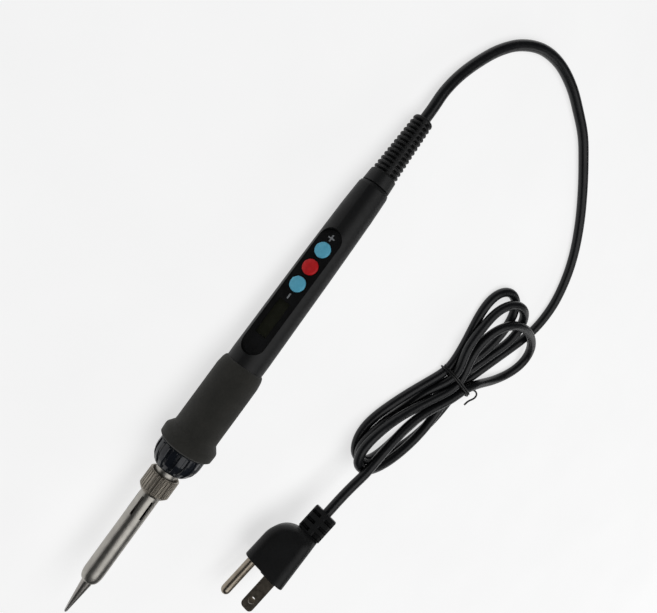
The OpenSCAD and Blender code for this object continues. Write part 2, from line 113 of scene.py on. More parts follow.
# The stretch from the strain relief to the hank, as in the CAD
LEAD_ROUTE = [
    (-0.124, 0, 0.0051), (-0.132, 0, 0.0044), (-0.142, 0.002, 0.0034), (-0.153, 0.006, 0.0027),
    (-0.163, 0.011, 0.0024), (-0.172, 0.018, 0.0024), (-0.180, 0.029, 0.0024),
    (-0.184, 0.042, 0.0024), (-0.184, 0.057, 0.0024), (-0.181, 0.071, 0.0024),
    (-0.177, 0.084, 0.0024), (-0.170, 0.097, 0.0024), (-0.161, 0.111, 0.0024),
    (-0.151, 0.124, 0.0024), (-0.139, 0.136, 0.0024), (-0.127, 0.144, 0.0024),
    (-0.114, 0.149, 0.0024), (-0.103, 0.150, 0.0024), (-0.095, 0.149, 0.0024),
    (-0.089, 0.147, 0.0024),
]
# The stretch from the hank to the plug's neck, as in the CAD
TAIL_ROUTE = [(0.015, 0.0928, 0.0154), (0.023, 0.0913, 0.0155), (0.0315, 0.0898, 0.0154)]

# The hank is tied at its waist, where its runs lie in two layers. A slot is a place in the
# waist: how far across it is, towards the far side, and how high.
WAIST = Vector((-0.046, 0.1193, 0))
WAIST_TURN = math.radians(-10.5)
WAIST_LEN = 0.008
along_waist = Vector((math.cos(WAIST_TURN), math.sin(WAIST_TURN), 0))
across_waist = Vector((-math.sin(WAIST_TURN), math.cos(WAIST_TURN), 0))
LOW, HIGH = 0.0033, 0.0074
SLOTS = {
    "near_out": (-0.0078, LOW), "near_in": (-0.0026, LOW), "far_in": (0.0026, LOW),
    "far_out": (0.0078, LOW), "top_near": (-0.0052, HIGH), "top_mid": (0, HIGH),
    "top_far": (0.0052, HIGH),
}
FLAT = cord_r
# The cord's way through the hank, in turn: a slot and the direction it is passed in, then the
# lobe laid between it and the next slot. Lobes by the plug have +X in the middle, and lobes
# by the incoming lead have -X.
HANK = [
    ([(-0.080, 0.143, FLAT), (-0.070, 0.138, FLAT), (-0.061, 0.1345, FLAT)], "far_out", 1),
    ([(-0.034, 0.128, FLAT), (-0.027, 0.127, FLAT), (-0.019, 0.1255, FLAT),
      (-0.011, 0.123, FLAT), (-0.003, 0.1195, FLAT), (0.005, 0.1145, FLAT),
      (0.0115, 0.108, FLAT), (0.015, 0.100, FLAT), (0.0125, 0.0925, FLAT),
      (0.007, 0.0885, FLAT), (-0.001, 0.0875, FLAT), (-0.011, 0.0905, FLAT),
      (-0.022, 0.0955, FLAT), (-0.031, 0.1005, FLAT), (-0.041, 0.1065, FLAT)],
     "near_out", -1),
    ([(-0.058, 0.109, FLAT), (-0.065, 0.109, FLAT), (-0.074, 0.107, FLAT),
      (-0.084, 0.1035, FLAT), (-0.092, 0.1045, FLAT), (-0.098, 0.109, FLAT),
      (-0.100, 0.119, FLAT), (-0.095, 0.126, FLAT), (-0.084, 0.128, FLAT),
      (-0.074, 0.127, FLAT), (-0.062, 0.126, FLAT)],
     "near_in", 1),
    ([(-0.033, 0.119, FLAT), (-0.023, 0.117, FLAT), (-0.013, 0.1135, 0.0026),
      (-0.004, 0.110, 0.0035), (0.005, 0.106, 0.005), (0.012, 0.101, 0.0065),
      (0.015, 0.095, 0.0072), (0.0125, 0.089, 0.0072), (0.004, 0.0865, 0.007),
      (-0.003, 0.0885, 0.006), (-0.009, 0.0935, 0.0045), (-0.015, 0.0995, 0.0032),
      (-0.023, 0.104, 0.0026), (-0.031, 0.107, 0.003), (-0.038, 0.109, 0.005)],
     "top_near", -1),
    ([(-0.058, 0.107, 0.0065), (-0.069, 0.107, 0.0055), (-0.080, 0.1075, 0.0055),
      (-0.089, 0.110, 0.006), (-0.096, 0.116, 0.007), (-0.097, 0.126, 0.007),
      (-0.092, 0.134, 0.0055), (-0.084, 0.138, 0.004), (-0.077, 0.136, 0.0035),
      (-0.069, 0.1315, 0.003), (-0.059, 0.127, 0.003)],
     "far_in", 1),
    ([(-0.039, 0.123, 0.005), (-0.033, 0.121, 0.006), (-0.026, 0.121, 0.006),
      (-0.017, 0.1215, 0.006), (-0.007, 0.118, 0.007), (0.001, 0.114, 0.008),
      (0.0085, 0.108, 0.0095), (0.0135, 0.102, 0.0107), (0.0165, 0.095, 0.0115),
      (0.015, 0.088, 0.0115), (0.0085, 0.085, 0.0115), (0.002, 0.086, 0.011),
      (-0.006, 0.090, 0.010), (-0.013, 0.095, 0.0085), (-0.020, 0.101, 0.0075),
      (-0.028, 0.1075, 0.007), (-0.036, 0.113, 0.007)],
     "top_mid", -1),
    ([(-0.054, 0.115, 0.008), (-0.061, 0.113, 0.008), (-0.069, 0.112, 0.008),
      (-0.077, 0.114, 0.0095), (-0.086, 0.120, 0.011), (-0.090, 0.133, 0.0095),
      (-0.088, 0.147, 0.007), (-0.082, 0.158, 0.0045), (-0.072, 0.158, 0.003),
      (-0.064, 0.1515, 0.003), (-0.055, 0.141, 0.004)],
     "top_far", 1),
    ([(-0.032, 0.114, 0.008), (-0.021, 0.108, 0.009), (-0.012, 0.1025, 0.011),
      (-0.002, 0.0985, 0.0135), (0.007, 0.0946, 0.0148)], None, 0),
]

# How the turns settle against each other
STEP = 0.002                      # spacing of the points along the cord
SETTLE_ROUNDS = 300
POLISH_ROUNDS = 80
CLEAR = 1.02 * CORD_D             # nearest that two turns' middles may come
BEND = 6.0                        # stiffness against bending
HOLD = 0.05                       # pull back to the drawn route
HOLD_UP = 0.3                     # share of that pull in height
FIXED = 1000.0                    # pull that keeps a point where it is
DROP = 0.01 * mm                  # fall a round, which keeps the turns lying down
SMOOTH = 0.06                     # share of the bending that each polishing round takes out
PUSHES = 4                        # times in a round that the turns are pushed apart
PAIRS_EVERY = 8                   # rounds between looks for turns that are near each other
NEAR = 2.2 * CORD_D               # how near those are
APART = 5                         # points along the cord that aren't another turn


def drawn_route():
    """Every point of the cord's route that is listed, from the iron to the plug."""
    points = [tuple(exit_point)] + LEAD_ROUTE
    for lobe, slot, way in HANK:
        points += lobe
        if slot:
            across, height = SLOTS[slot]
            middle = WAIST + across_waist * across + Vector((0, 0, height))
            half = along_waist * WAIST_LEN / 2 * way
            points += [tuple(middle - half), tuple(middle + half)]
    return np.array(points + TAIL_ROUTE + [tuple(neck_end)])


def evenly(line, step):
    """The same line with its points a step apart."""
    gaps = np.linalg.norm(np.diff(line, axis=0), axis=1)
    far = np.concatenate([[0], np.cumsum(gaps)])
    at = np.linspace(0, far[-1], round(far[-1] / step) + 1)
    return np.stack([np.interp(at, far, line[:, k]) for k in range(3)], axis=1)


def smooth_route(points, step, pieces=16):
    """A centripetal Catmull-Rom curve through the points."""
    ends = np.vstack([2 * points[0] - points[1], points, 2 * points[-1] - points[-2]])
    line = []
    for a, b, c, d in zip(ends, ends[1:], ends[2:], ends[3:]):
        t1 = np.linalg.norm(b - a) ** 0.5
        t2 = t1 + np.linalg.norm(c - b) ** 0.5
        t3 = t2 + np.linalg.norm(d - c) ** 0.5
        t = np.linspace(t1, t2, pieces, endpoint=False)[:, None]
        ab = (t1 - t) / t1 * a + t / t1 * b
        bc = (t2 - t) / (t2 - t1) * b + (t - t1) / (t2 - t1) * c
        cd = (t3 - t) / (t3 - t2) * c + (t - t2) / (t3 - t2) * d
        abc = (t2 - t) / t2 * ab + t / t2 * bc
        bcd = (t3 - t) / (t3 - t1) * bc + (t - t1) / (t3 - t1) * cd
        line.append((t2 - t) / (t2 - t1) * abc + (t - t1) / (t2 - t1) * bcd)
    return evenly(np.vstack(line + [points[-1:]]), step)


def neighbours(line, apart, reach):
    """Pairs of points that are near each other in space but not along the cord."""
    gap = np.linalg.norm(line[:, None, :] - line[None, :, :], axis=2)
    i, j = np.nonzero(gap < reach)
    far = j - i > apart
    return i[far], j[far]


def push_apart(line, i, j):
    """Moves overlapping turns apart a little, and everything up to the surface."""
    gap = line[i] - line[j]
    size = np.linalg.norm(gap, axis=1) + 1e-12
    share = np.maximum(CLEAR - size, 0) / size / 4
    move = np.zeros_like(line)
    np.add.at(move, i, gap * share[:, None])
    np.add.at(move, j, -gap * share[:, None])
    size = np.linalg.norm(move, axis=1)
    most = 0.8 * mm
    move *= np.minimum(1, most / np.maximum(size, 1e-12))[:, None]
    line = line + move
    line[:, 2] = np.maximum(line[:, 2], cord_r)
    return line


def settle(line, first, last):
    """Lets the turns of the hank settle. Points up to first and from last on stay put."""
    home = line.copy()
    count = len(line)
    k = np.arange(count - 2)
    curve = np.zeros((count - 2, count))
    curve[k, k] = 1
    curve[k, k + 1] = -2
    curve[k, k + 2] = 1
    stiff = curve.T @ curve
    hold = np.full(count, HOLD)
    hold[:first] = FIXED
    hold[last:] = FIXED
    hold_up = np.where(hold < FIXED, hold * HOLD_UP, hold)
    level = np.linalg.inv(np.diag(1 + hold) + BEND * stiff)
    upright = np.linalg.inv(np.diag(1 + hold_up) + BEND * stiff)
    for turn in range(SETTLE_ROUNDS + POLISH_ROUNDS):
        if turn % PAIRS_EVERY == 0:
            i, j = neighbours(line, APART, NEAR)
        if turn < SETTLE_ROUNDS:
            aim = line + hold[:, None] * home
            height = line[:, 2] + hold_up * home[:, 2] - DROP
            line = np.column_stack([level @ aim[:, 0], level @ aim[:, 1], upright @ height])
        else:
            line = line - SMOOTH * stiff @ line
        for _ in range(PUSHES):
            line = push_apart(line, i, j)
        line[:first] = home[:first]
        line[last:] = home[last:]
    return line


route = smooth_route(drawn_route(), STEP)
held = int(np.argmin(np.linalg.norm(route - LEAD_ROUTE[-2], axis=1)))
route = settle(route, held, len(route) - 5)

# ---- Materials ----


class Paint:
    """A material with a Principled shader, and short names for the nodes it needs."""

    def __init__(self, name, **sockets):
        self.material = bpy.data.materials.new(name)
        self.material.use_nodes = True
        self.tree = self.material.node_tree
        self.shader = self.tree.nodes["Principled BSDF"]
        for socket, value in sockets.items():
            socket = socket.replace("_", " ").title().replace("Ior", "IOR")
            self.shader.inputs[socket].default_value = value
        self.place = self.add("ShaderNodeTexCoord").outputs["Object"]
        self.last_bump = None

    def add(self, kind, **settings):
        node = self.tree.nodes.new(kind)
        for key, value in settings.items():
            setattr(node, key, value)
        return node

    def link(self, source, target):
        self.tree.links.new(source, target)

    def along_iron(self, scale):
        """The iron's drawing frame as coordinates, stretched by a scale for each axis."""
        node = self.add("ShaderNodeMapping", vector_type="TEXTURE")
        node.inputs["Location"].default_value = IRON.translation
        node.inputs["Rotation"].default_value = IRON.to_euler()
        self.link(self.place, node.inputs["Vector"])
        then = self.add("ShaderNodeMapping")
        then.inputs["Scale"].default_value = scale
        self.link(node.outputs["Vector"], then.inputs["Vector"])
        return then.outputs["Vector"]

    def noise(self, size, detail=3.0, place=None, roughness=0.55):
        """Noise with features of that size in metres."""
        node = self.add("ShaderNodeTexNoise")
        node.inputs["Scale"].default_value = 1 / size
        node.inputs["Detail"].default_value = detail
        node.inputs["Roughness"].default_value = roughness
        self.link(place or self.place, node.inputs["Vector"])
        return node.outputs["Fac"]

    def cells(self, size):
        """Small cells of that size in metres: the distance from the middle of each."""
        node = self.add("ShaderNodeTexVoronoi")
        node.inputs["Scale"].default_value = 1 / size
        self.link(self.place, node.inputs["Vector"])
        return node.outputs["Distance"]

    def spread(self, value, low, high, start=0.3, end=0.7):
        """A value between start and end becomes one between low and high."""
        node = self.add("ShaderNodeMapRange")
        node.inputs["From Min"].default_value = start
        node.inputs["From Max"].default_value = end
        node.inputs["To Min"].default_value = low
        node.inputs["To Max"].default_value = high
        self.link(value, node.inputs["Value"])
        return node.outputs["Result"]

    def colours(self, value, *stops):
        """A colour ramp: stops are (place, colour)."""
        ramp = self.add("ShaderNodeValToRGB").color_ramp
        while len(ramp.elements) < len(stops):
            ramp.elements.new(0.5)
        for element, (at, colour) in zip(ramp.elements, stops):
            element.position = at
            element.color = (*colour, 1)
        node = self.tree.nodes[-1]
        self.link(value, node.inputs["Fac"])
        return node.outputs["Color"]

    def colour(self, value, *stops):
        self.link(self.colours(value, *stops), self.shader.inputs["Base Color"])

    def rough(self, value, low, high):
        self.link(self.spread(value, low, high), self.shader.inputs["Roughness"])

    def bump(self, value, depth, strength=1.0):
        """Raises the surface by a depth in metres. Calls add up."""
        node = self.add("ShaderNodeBump")
        node.inputs["Distance"].default_value = depth
        node.inputs["Strength"].default_value = strength
        self.link(value, node.inputs["Height"])
        if self.last_bump:
            self.link(self.last_bump, node.inputs["Normal"])
        self.last_bump = node.outputs["Normal"]
        self.link(self.last_bump, self.shader.inputs["Normal"])


def grey(level, warm=0.0):
    return (level * (1 + warm), level, level * (1 - warm))


def moulded(name, level, rough, grain=0.25 * mm, depth=0.012 * mm, **sockets):
    """Dark moulded plastic or rubber with a fine spark-eroded grain and faint blotches."""
    paint = Paint(name, **sockets)
    blotch = paint.noise(9 * mm, 4)
    warm = -0.03
    paint.colour(blotch, (0.3, grey(level * 0.82, warm)), (0.7, grey(level * 1.2, warm)))
    fine = paint.noise(grain, 2)
    scuff = paint.noise(2.2 * mm, 5, roughness=0.7)
    paint.rough(scuff, rough - 0.05, rough + 0.07)
    paint.bump(fine, depth)
    return paint.material


def turned_metal(
        name, dark, light, rough, line=0.05 * mm, painted_shade_inside=0, knurl=0):
    """Metal turned on the iron's axis: fine rings, a faint bloom and uneven gloss. Within the
    radius painted_shade_inside, behind the front of the tube, its colour is darkened as painted
    shade of the tube's inside. Knurl is the distance between the grooves that cross the ridges
    of the nut."""
    paint = Paint(name, metallic=1.0)
    tint = paint.colours(paint.noise(5 * mm, 4), (0.32, dark), (0.68, light))
    # Inside the tube's bore, behind its front, the colour is darkened to a twentieth: painted shade
    # of the inner wall.
    if painted_shade_inside:
        reach = paint.add("ShaderNodeVectorMath", operation="LENGTH")
        paint.link(paint.along_iron((1, 1, 0)), reach.inputs[0])
        place = paint.add("ShaderNodeSeparateXYZ")
        paint.link(paint.along_iron((1, 1, 1)), place.inputs["Vector"])
        edge = 0.05 * mm
        outside = paint.spread(
            reach.outputs["Value"], 0.05, 1, painted_shade_inside - edge, painted_shade_inside + edge)
        front = paint.spread(place.outputs["Z"], 1, 0, 19.5 * mm, 20.5 * mm)
        bright = paint.add("ShaderNodeMath", operation="MAXIMUM")
        paint.link(outside, bright.inputs[0])
        paint.link(front, bright.inputs[1])
        shaded = paint.add("ShaderNodeVectorMath", operation="MULTIPLY")
        paint.link(tint, shaded.inputs[0])
        paint.link(bright.outputs["Value"], shaded.inputs[1])
        tint = shaded.outputs["Vector"]
    paint.link(tint, paint.shader.inputs["Base Color"])
    paint.rough(paint.noise(1.5 * mm, 4), rough - 0.04, rough + 0.06)
    ring_depth = 0.002 * mm
    paint.bump(paint.noise(line, 2, paint.along_iron((0.02, 0.02, 1))), ring_depth)
    if knurl:
        rings = paint.add("ShaderNodeTexWave", bands_direction="Z")
        rings.inputs["Scale"].default_value = math.pi / 10 / knurl
        paint.link(paint.along_iron((1, 1, 1)), rings.inputs["Vector"])
        paint.bump(rings.outputs["Fac"], 0.12 * mm)
    return paint.material


def tip_plating():
    paint = Paint("tip_plating", metallic=1.0)
    station = paint.add("ShaderNodeSeparateXYZ")
    paint.link(paint.along_iron((1, 1, 1)), station.inputs["Vector"])
    ragged = paint.add("ShaderNodeMath", operation="MULTIPLY_ADD")
    ragged.inputs[1].default_value = 2.4 * mm
    paint.link(paint.noise(1.2 * mm, 3), ragged.inputs[0])
    paint.link(station.outputs["Z"], ragged.inputs[2])
    along = paint.spread(ragged.outputs["Value"], 0, 1, 1.2 * mm, 18 * mm)
    paint.colour(
        along, (0.0, (0.50, 0.50, 0.49)), (0.16, (0.42, 0.41, 0.40)),
        (0.3, (0.30, 0.29, 0.275)), (0.75, (0.34, 0.32, 0.30)), (1.0, (0.40, 0.38, 0.35)))
    paint.rough(paint.noise(0.8 * mm, 4), 0.26, 0.42)
    paint.bump(paint.noise(0.35 * mm, 3), 0.012 * mm)
    return paint.material


def foam():
    paint = Paint("grip_foam", sheen_weight=0.12, sheen_roughness=0.6, specular_ior_level=0.25)
    blotch = paint.noise(7 * mm, 5)
    paint.colour(blotch, (0.3, (0.019, 0.019, 0.016)), (0.7, (0.029, 0.028, 0.024)))
    paint.rough(paint.noise(1 * mm, 3), 0.82, 0.95)
    paint.bump(paint.cells(0.32 * mm), 0.05 * mm, 0.7)
    paint.bump(paint.noise(1.6 * mm, 4), 0.06 * mm, 0.5)
    return paint.material


def film():
    paint = Paint("panel_film", specular_ior_level=0.4)
    paint.colour(paint.noise(6 * mm, 4), (0.35, grey(0.004)), (0.65, grey(0.007, -0.04)))
    paint.rough(paint.noise(5 * mm, 4), 0.16, 0.24)
    paint.bump(paint.noise(6 * mm, 2), 0.02 * mm)
    return paint.material


def cap_plastic():
    paint = Paint("cap_plastic", specular_ior_level=0.4)
    paint.colour(
        paint.noise(5 * mm, 4), (0.35, (0.006, 0.0075, 0.011)), (0.65, (0.010, 0.0125, 0.018)))
    paint.rough(paint.noise(1 * mm, 4), 0.14, 0.24)
    paint.bump(paint.noise(2.5 * mm, 3), 0.02 * mm)
    return paint.material


def key(name, dark, light):
    """A moulded button: satin, a little worn and uneven."""
    paint = Paint(name, specular_ior_level=0.25)
    paint.colour(paint.noise(1.6 * mm, 5), (0.32, dark), (0.68, light))
    paint.rough(paint.noise(0.6 * mm, 4), 0.42, 0.58)
    paint.bump(paint.noise(0.22 * mm, 3), 0.025 * mm)
    return paint.material


def display_glass():
    paint = Paint("display_glass", coat_weight=0.4, coat_roughness=0.05)
    paint.colour(
        paint.noise(4 * mm, 3), (0.35, (0.070, 0.073, 0.046)), (0.65, (0.086, 0.089, 0.058)))
    paint.rough(paint.noise(1 * mm, 3), 0.16, 0.24)
    paint.bump(paint.noise(2 * mm, 2), 0.01 * mm)
    return paint.material


def display_clear():
    """Smoked window: the display shows dimly through it."""
    paint = Paint("display_clear", alpha=0.35, specular_ior_level=0.4)
    paint.colour(
        paint.noise(5 * mm, 3), (0.35, (0.012, 0.013, 0.008)), (0.65, (0.016, 0.017, 0.011)))
    paint.rough(paint.noise(4 * mm, 3), 0.10, 0.16)
    paint.bump(paint.noise(6 * mm, 2), 0.01 * mm)
    return paint.material


def cord_sheath():
    paint = Paint("cord_sheath", specular_ior_level=0.28)
    paint.colour(
        paint.noise(11 * mm, 4), (0.3, (0.0055, 0.0060, 0.0068)), (0.7, (0.009, 0.0095, 0.0108)))
    paint.rough(paint.noise(2.5 * mm, 5, roughness=0.7), 0.25, 0.38)
    paint.bump(paint.noise(0.5 * mm, 3), 0.012 * mm)
    paint.bump(paint.noise(4 * mm, 2), 0.08 * mm, 0.6)
    return paint.material


def plain(name, dark, light, rough):
    """An inner part's plastic, ceramic, board or wire, and the printed marks."""
    paint = Paint(name)
    grain = 0.4 * mm
    paint.colour(paint.noise(2 * mm, 4), (0.3, dark), (0.7, light))
    paint.rough(paint.noise(grain, 3), rough - 0.06, rough + 0.08)
    paint.bump(paint.noise(grain, 3), 0.01 * mm)
    return paint.material


materials = {
    "tip_plating": tip_plating(),
    # tube_steel: its inside is darkened as painted shade.
    "tube_steel": turned_metal(
        "tube_steel", (0.33, 0.315, 0.29), (0.41, 0.395, 0.36), 0.34, painted_shade_inside=3.95 * mm),
    "nut_nickel": turned_metal(
        "nut_nickel", (0.25, 0.225, 0.190), (0.33, 0.30, 0.255), 0.30, knurl=0.55 * mm),
    "spring_steel": turned_metal(
        "spring_steel", (0.56, 0.56, 0.55), (0.70, 0.70, 0.69), 0.32),
    "pin_nickel": turned_metal(
        "pin_nickel", (0.24, 0.205, 0.165), (0.33, 0.29, 0.235), 0.30, line=0.12 * mm),
    # heater_ceramic: dark brown as painted shade of the heater deep in the tube, with a brownish
    # heat tint; the ceramic itself is white.
    "heater_ceramic": plain(
        "heater_ceramic", (0.070, 0.055, 0.042), (0.120, 0.098, 0.076), 0.55),
    "cap_plastic": cap_plastic(),
    "grip_foam": foam(),
    "handle_plastic": moulded(
        "handle_plastic", 0.010, 0.44, grain=0.2 * mm, specular_ior_level=0.22),
    "panel_film": film(),
    "display_clear": display_clear(),
    "display_glass": display_glass(),
    "key_blue": key("key_blue", (0.115, 0.480, 0.680), (0.155, 0.560, 0.760)),
    "key_red": key("key_red", (0.560, 0.010, 0.014), (0.680, 0.016, 0.020)),
    "mark_grey": plain("mark_grey", grey(0.21, -0.05), grey(0.29, -0.05), 0.5),
    "board_laminate": plain("board_laminate", (0.02, 0.12, 0.05), (0.04, 0.18, 0.08), 0.4),
    "component_black": plain("component_black", grey(0.014), grey(0.026), 0.45),
    "capacitor_yellow": plain(
        "capacitor_yellow", (0.52, 0.34, 0.03), (0.66, 0.46, 0.06), 0.35),
    "wire_white": plain("wire_white", grey(0.62), grey(0.78), 0.45),
    "wire_black": plain("wire_black", grey(0.012), grey(0.022), 0.4),
    "wire_green": plain("wire_green", (0.02, 0.20, 0.06), (0.04, 0.30, 0.10), 0.4),
    "cord_sheath": cord_sheath(),
    "relief_rubber": moulded(
        "relief_rubber", 0.009, 0.48, depth=0.02 * mm, specular_ior_level=0.3),
    "tie_wire": moulded("tie_wire", 0.008, 0.42),
    "plug_rubber": moulded(
        "plug_rubber", 0.009, 0.46, depth=0.02 * mm, specular_ior_level=0.2),
    "plug_bridge": plain("plug_bridge", grey(0.60, 0.03), grey(0.72, 0.03), 0.5),
}

for subpart in record["subparts"]:
    mesh_slots = nodes[subpart["node"]].material_slots
    for mesh_slot in mesh_slots:
        mesh_slot.material = materials[subpart["material_slot"]]

# ---- Mesh building ----


def piece(name, points, faces, slot, sharp=35):
    """A mesh in the row frame. Doubled points are joined and sharp edges stay sharp."""
    mesh = bpy.data.meshes.new(name)
    mesh.from_pydata([tuple(p) for p in points], [], faces)
    work = bmesh.new()
    work.from_mesh(mesh)
    bmesh.ops.remove_doubles(work, verts=work.verts, dist=1e-7)
    bmesh.ops.dissolve_degenerate(work, edges=work.edges, dist=1e-7)
    bmesh.ops.recalc_face_normals(work, faces=work.faces)
    work.to_mesh(mesh)
    work.free()
    mesh.shade_smooth()
    mesh.set_sharp_from_angle(angle=math.radians(sharp))
    mesh.materials.append(materials[slot])
    shape = bpy.data.objects.new(name, mesh)
    bpy.context.scene.collection.objects.link(shape)
    return shape


def stands_for(shape, body, slot, *replaced):
    """shape rides on a body and stands for those CAD nodes. slot is not used."""
    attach(shape, body)
    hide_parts(*replaced)
    return shape


CORNER_STEPS = 5


def rounded(points, closed=True):
    """A flat outline of (a, b, radius) with each corner rounded to its radius."""
    flat = [Vector(p[:2]) for p in points]
    out = []
    count = len(flat)
    for i, here in enumerate(flat):
        r = points[i][2]
        if r == 0 or (not closed and i in (0, count - 1)):
            out.append(here)
            continue
        back = flat[i - 1] - here
        on = flat[(i + 1) % count] - here
        corner = back.angle(on)
        cut = min(r / math.tan(corner / 2), 0.49 * back.length, 0.49 * on.length)
        a = here + back.normalized() * cut
        b = here + on.normalized() * cut
        for k in range(CORNER_STEPS + 1):
            t = k / CORNER_STEPS
            out.append((1 - t) ** 2 * a + 2 * t * (1 - t) * here + t ** 2 * b)
    return out


def dense(outline, step, closed=True):
    """The outline with more points, none further apart than a step."""
    out = []
    count = len(outline)
    for i in range(count if closed else count - 1):
        a, b = outline[i], outline[(i + 1) % count]
        parts = max(1, math.ceil((b - a).length / step))
        out += [a.lerp(b, k / parts) for k in range(parts)]
    if not closed:
        out.append(outline[-1])
    return out


def skin(rows, around, first=0, closed=False):
    """Faces between rows of points, each row going once round."""
    faces = []
    for i in range(rows if closed else rows - 1):
        here, on = first + i * around, first + (i + 1) % rows * around
        faces += [(here + k, here + (k + 1) % around, on + (k + 1) % around, on + k)
                  for k in range(around)]
    return faces


def turned(name, outline, slot, sides=96, cut=None, sharp=35):
    """Turns an outline of (radius, station) round the iron's axis.
    cut(radius, station, angle) may give another radius."""
    points = []
    for r, s in outline:
        for k in range(sides):
            angle = 2 * math.pi * k / sides
            size = cut(r, s, angle) if cut else r
            points.append(IRON @ Vector((size * math.cos(angle), size * math.sin(angle), s)))
    return piece(name, points, skin(len(outline), sides, closed=True), slot, sharp)


def smoothstep(low, high, value):
    t = min(1, max(0, (value - low) / (high - low)))
    return t * t * (3 - 2 * t)


# ---- Front cap ----

CAP_FLUTES = 16
FLUTE_DEPTH = 0.75 * mm


def flute(r, s, angle):
    """Rounded flutes down the cap's bell, between its ribs."""
    if r < 7 * mm:
        return r
    along = smoothstep(67.9 * mm, 69.4 * mm, s) * (1 - smoothstep(76.4 * mm, 77 * mm, s))
    ripple = math.cos(CAP_FLUTES * angle)
    return r - FLUTE_DEPTH * along * smoothstep(0.1, 0.75, ripple)


cap_outline = rounded([
    (4.85 * mm, 67.6 * mm, 0), (6.8 * mm, 67.6 * mm, 0.25 * mm), (7.5 * mm, 68.2 * mm, 0.8 * mm),
    (9.1 * mm, 70.4 * mm, 2 * mm), (9.8 * mm, 72.5 * mm, 2 * mm), (10 * mm, 74.2 * mm, 1 * mm),
    (10 * mm, 77.1 * mm, 0.2 * mm), (6.9 * mm, 77.3 * mm, 0), (6.9 * mm, 92 * mm, 0),
    (5.8 * mm, 92 * mm, 0), (5.8 * mm, 74 * mm, 0), (4.85 * mm, 74 * mm, 0),
])
stands_for(
    turned("front_cap_ribbed", dense(cap_outline, 0.45 * mm), "cap_plastic", sides=256,
           cut=flute, sharp=50),
    "iron", "cap_plastic", "front_cap")

# ---- Foam grip ----


def pressed(r, s, angle):
    """Foam is never quite round: a slow wander in its surface."""
    wander = math.sin(3 * angle + s * 90) + math.sin(5 * angle - s * 140 + 1)
    return r + 0.03 * mm * wander * smoothstep(8.4 * mm, 9.2 * mm, r)


grip_outline = rounded([
    (8.1 * mm, 77.5 * mm, 0), (10.6 * mm, 77.5 * mm, 0.3 * mm), (11.6 * mm, 78.3 * mm, 0.3 * mm),
    (11.75 * mm, 81.3 * mm, 0.4 * mm), (11.6 * mm, 82.1 * mm, 0.3 * mm),
    (10.7 * mm, 83.3 * mm, 0.5 * mm), (9.7 * mm, 84.6 * mm, 0.5 * mm),
    (9.6 * mm, 86 * mm, 1 * mm), (9.6 * mm, 112 * mm, 6 * mm), (9.2 * mm, 115 * mm, 2 * mm),
    (8.7 * mm, 116.4 * mm, 0.5 * mm), (8.2 * mm, 116.8 * mm, 0.1 * mm), (8.1 * mm, 116.8 * mm, 0),
])
stands_for(
    turned("foam_grip_soft", dense(grip_outline, 1 * mm), "grip_foam", sides=128, cut=pressed),
    "iron", "grip_foam", "foam_grip")

# ---- Strain relief ----

FIRST_SLOT = 210.1 * mm            # its middle
SLOT_PITCH = 2.05 * mm
SLOTS_LONG = 13                    # along each side
SLOT_DEEP = 1.5 * mm
WEB_AT = math.radians(33)          # where the near web between the two rows of slots is
WEB_HALF = 0.09                    # sine of the angle where the webs end


def slotted(r, s, angle):
    """Two rows of slots with a long narrow web between them, and a round crown on each rib."""
    if r < 3.6 * mm:
        return r
    place = (s - FIRST_SLOT) / SLOT_PITCH
    if place < -0.5 or place > SLOTS_LONG - 0.5:
        return r
    past_web = smoothstep(WEB_HALF, WEB_HALF + 0.2, abs(math.sin(angle - WEB_AT)))
    off = abs((place + 0.5) % 1 - 0.5)
    open_here = 1 - smoothstep(0.13, 0.26, off)
    crown = 0.3 * mm * smoothstep(0.2, 0.5, off)
    return max(r - (SLOT_DEEP * open_here + 0.2 * mm - crown) * past_web, 2.5 * mm)


relief_outline = rounded([
    (2.45 * mm, 203.8 * mm, 0), (6.1 * mm, 203.8 * mm, 0.25 * mm), (5.8 * mm, 209 * mm, 0.4 * mm),
    (5.5 * mm, 209.8 * mm, 0.6 * mm), (4.35 * mm, 234.5 * mm, 2 * mm),
    (4.2 * mm, 236.6 * mm, 1.1 * mm), (2.9 * mm, 237 * mm, 0.3 * mm), (2.45 * mm, 236.9 * mm, 0),
])
stands_for(
    turned("strain_relief_slotted", dense(relief_outline, 0.14 * mm), "relief_rubber",
           sides=96, cut=slotted, sharp=60),
    "iron", "relief_rubber", "strain_relief")

# ---- Buttons ----

BUTTON_R = 3.25 * mm
panel_out = -Vector(joints["plus_press"]["axis"]).normalized()
PANEL_TURN = frame_of(Vector(), panel_out.cross(tip_way).normalized(), panel_out)


